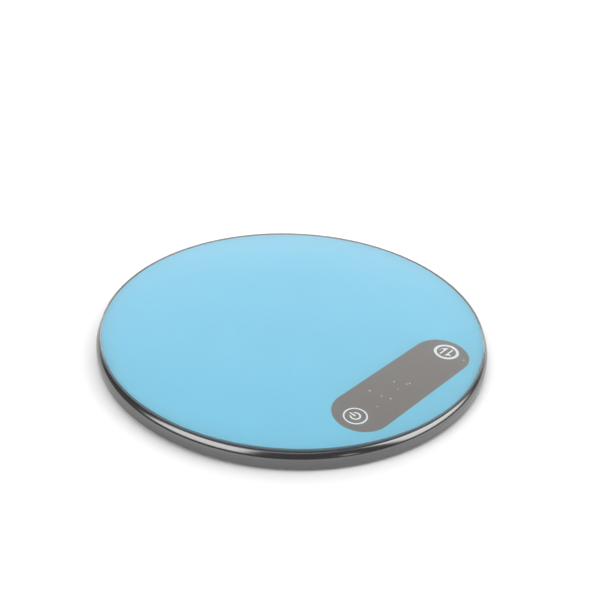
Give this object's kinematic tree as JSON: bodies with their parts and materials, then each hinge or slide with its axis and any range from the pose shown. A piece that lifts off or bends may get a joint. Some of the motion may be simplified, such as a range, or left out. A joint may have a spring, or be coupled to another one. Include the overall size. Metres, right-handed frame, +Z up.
{
  "type": "digital kitchen scale",
  "caption": "Slim round digital kitchen scale: glass platform with a blue print, dark display window and touch keys, on a black housing with load-cell feet.",
  "frame": {"origin": "on the table below the middle of the round platform", "axes": "+Z up out of the glass platform, -Y towards the user and the display window, +X to the user's right"},
  "size_m": [0.2, 0.2, 0.011],
  "materials": {
    "clear_glass": "polished toughened glass with a fine ground edge",
    "blue_ink": "opaque light blue ink on the back of the glass",
    "dark_tint": "see-through dark ink over the display window",
    "white_ink": "white screen-printed lines",
    "foam_tape": "thin white double-sided tape",
    "rim_plastic": "black moulding with a smooth gloss",
    "cover_plastic": "black moulding with a fine texture",
    "screw_steel": "plated steel screws",
    "cell_steel": "pressed stainless can of the coin cell",
    "contact_metal": "nickel-plated spring strip",
    "circuit_board": "green solder mask",
    "chip_resin": "black resin drop over the chip",
    "small_parts": "tan ceramic chips and a metal can",
    "light_frame": "white moulding with a well for each segment",
    "light_chips": "pale yellow light-emitting chips",
    "diffuser_film": "milky film",
    "conductive_foam": "dark grey conductive foam",
    "cell_plate_steel": "stamped and plated spring steel",
    "gauge_film": "white glue over a foil gauge",
    "retainer_plastic": "natural white moulding",
    "foot_plastic": "black moulding with a fine texture",
    "foot_rubber": "black soft rubber",
    "red_wire": "red insulation on a thin stranded wire",
    "black_wire": "black insulation on a thin stranded wire"
  },
  "bodies": {
    "housing": {"glass_platform": "clear_glass", "blue_print": "blue_ink", "window_tint": "dark_tint", "power_key_mark": "white_ink", "unit_key_mark": "white_ink", "glass_tape": "foam_tape", "upper_shell": "rim_plastic", "bottom_cover": "cover_plastic", "cover_screws": "screw_steel", "coin_cell": "cell_steel", "positive_contact": "contact_metal", "negative_contact": "contact_metal", "main_board": "circuit_board", "board_screws": "screw_steel", "controller_chip": "chip_resin", "board_parts": "small_parts", "display_frame": "light_frame", "segment_lights": "light_chips", "display_diffuser": "diffuser_film", "touch_sensor_pads": "conductive_foam", "load_cell_front_left": "cell_plate_steel", "load_cell_front_right": "cell_plate_steel", "load_cell_rear_left": "cell_plate_steel", "load_cell_rear_right": "cell_plate_steel", "strain_gauges": "gauge_film", "cell_retainers": "retainer_plastic", "retainer_screws": "screw_steel", "load_cell_wires": "red_wire", "battery_wires": "black_wire"},
    "battery_door": {"battery_door": "cover_plastic"},
    "foot_front_left": {"foot_cap_front_left": "foot_plastic", "foot_pad_front_left": "foot_rubber"},
    "foot_front_right": {"foot_cap_front_right": "foot_plastic", "foot_pad_front_right": "foot_rubber"},
    "foot_rear_left": {"foot_cap_rear_left": "foot_plastic", "foot_pad_rear_left": "foot_rubber"},
    "foot_rear_right": {"foot_cap_rear_right": "foot_plastic", "foot_pad_rear_right": "foot_rubber"}
  },
  "joints": [
    {"name": "foot_front_left_press", "type": "slide", "parent": "housing", "child": "foot_front_left", "axis": [0, 0, 1], "range_m": [0, 0.0003], "stiffness_N_per_m": 40000, "deforming": ["load_cell_front_left"]},
    {"name": "foot_front_right_press", "type": "slide", "parent": "housing", "child": "foot_front_right", "axis": [0, 0, 1], "range_m": [0, 0.0003], "stiffness_N_per_m": 40000, "deforming": ["load_cell_front_right"]},
    {"name": "foot_rear_left_press", "type": "slide", "parent": "housing", "child": "foot_rear_left", "axis": [0, 0, 1], "range_m": [0, 0.0003], "stiffness_N_per_m": 40000, "deforming": ["load_cell_rear_left"]},
    {"name": "foot_rear_right_press", "type": "slide", "parent": "housing", "child": "foot_rear_right", "axis": [0, 0, 1], "range_m": [0, 0.0003], "stiffness_N_per_m": 40000, "deforming": ["load_cell_rear_right"]},
    {"name": "battery_door_hinge", "type": "hinge", "parent": "housing", "child": "battery_door", "pos_m": [0, 0.00635, 0.0015], "axis": [-1, 0, 0], "range_deg": [0, 75]}
  ]
}
